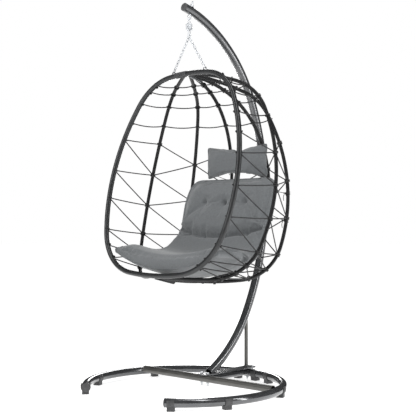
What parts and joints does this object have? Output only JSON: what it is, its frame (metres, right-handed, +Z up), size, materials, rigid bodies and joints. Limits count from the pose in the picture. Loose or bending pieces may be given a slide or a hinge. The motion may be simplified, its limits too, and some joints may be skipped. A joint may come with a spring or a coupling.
{
  "type": "hanging egg chair",
  "caption": "Laced egg-shaped basket seat with tufted pad and head pillow, hung by a sprung chain from a curved pole on a C-shaped floor stand.",
  "frame": {"origin": "on the floor under the middle of the whole object's box", "axes": "+Z up, the seat faces -Y, the pole stands behind it at +Y, +X is the sitter's left"},
  "size_m": [1.016, 1.0573, 1.9511],
  "materials": {
    "powder_coat": "satin dark grey powder coat",
    "rib_coat": "near-black powder coat",
    "bracket_coat": "light grey paint",
    "zinc_plate": "bright zinc plate",
    "black_plastic": "moulded matt black",
    "lacing_cord": "dark resin cord",
    "tie_cord": "thin woven cord",
    "pad_fabric": "mid grey polyester",
    "pillow_fabric": "mid grey polyester"
  },
  "bodies": {
    "stand": {"base_tube_left": "powder_coat", "base_tube_right": "powder_coat", "base_joint_sleeve": "powder_coat", "base_end_cap_left": "black_plastic", "base_end_cap_right": "black_plastic", "foot_1": "black_plastic", "foot_2": "black_plastic", "foot_3": "black_plastic", "foot_4": "black_plastic", "foot_5": "black_plastic", "foot_6": "black_plastic", "foot_7": "black_plastic", "foot_8": "black_plastic", "foot_9": "black_plastic", "crossbar": "powder_coat", "spine_tube": "powder_coat", "mounting_plate": "powder_coat", "plate_bolts": "zinc_plate", "plate_nuts": "zinc_plate", "plate_washers": "zinc_plate", "pole_upper": "powder_coat", "pole_lower": "powder_coat", "pole_spigot": "powder_coat", "pole_joint_screws": "zinc_plate", "pole_end_cap": "black_plastic", "brace_strut": "powder_coat", "strut_collar": "powder_coat", "eye_bolt": "zinc_plate", "eye_bolt_nuts": "zinc_plate"},
    "spring_upper": {"upper_drawbar": "zinc_plate", "spring_coil": "zinc_plate"},
    "spring_lower": {"lower_drawbar": "zinc_plate"},
    "hanger": {"hanger_ring": "zinc_plate"},
    "chains": {"chain_left": "zinc_plate", "chain_right": "zinc_plate"},
    "basket": {"hoop_left": "powder_coat", "hoop_right": "powder_coat", "hoop_top_spigot": "powder_coat", "hoop_bottom_spigot": "powder_coat", "top_bracket": "bracket_coat", "bottom_bracket": "bracket_coat", "chain_lug_left": "powder_coat", "chain_lug_right": "powder_coat", "rib_left_1": "rib_coat", "rib_left_2": "rib_coat", "rib_left_3": "rib_coat", "rib_right_1": "rib_coat", "rib_right_2": "rib_coat", "rib_right_3": "rib_coat", "lacing_left": "lacing_cord", "lacing_right": "lacing_cord", "lacing_back": "lacing_cord", "lacing_top_rows": "lacing_cord", "seat_back_cushion": "pad_fabric", "head_pillow": "pillow_fabric", "pillow_ties": "tie_cord", "cushion_ties": "tie_cord"}
  },
  "joints": [
    {"name": "side_swing", "type": "hinge", "parent": "stand", "child": "spring_upper", "pos_m": [0, -0.0808, 1.8537], "axis": [0, 1, 0], "range_deg": [-6, 6]},
    {"name": "spring_bounce", "type": "slide", "parent": "spring_upper", "child": "spring_lower", "axis": [0, 0, -1], "range_m": [0, 0.009], "stiffness_N_per_m": 110000, "springref_m": -0.0017, "deforming": ["spring_coil"]},
    {"name": "fore_aft_swing", "type": "hinge", "parent": "spring_lower", "child": "hanger", "pos_m": [0, -0.0808, 1.7767], "axis": [1, 0, 0], "range_deg": [-12, 4]},
    {"name": "swivel", "type": "hinge", "parent": "hanger", "child": "chains", "pos_m": [0, -0.0808, 1.7657], "axis": [0, 0, 1], "range_deg": [-18, 18]},
    {"name": "basket_nod", "type": "hinge", "parent": "chains", "child": "basket", "pos_m": [0, -0.0808, 1.59998], "axis": [1, 0, 0], "range_deg": [-6, 3]}
  ]
}
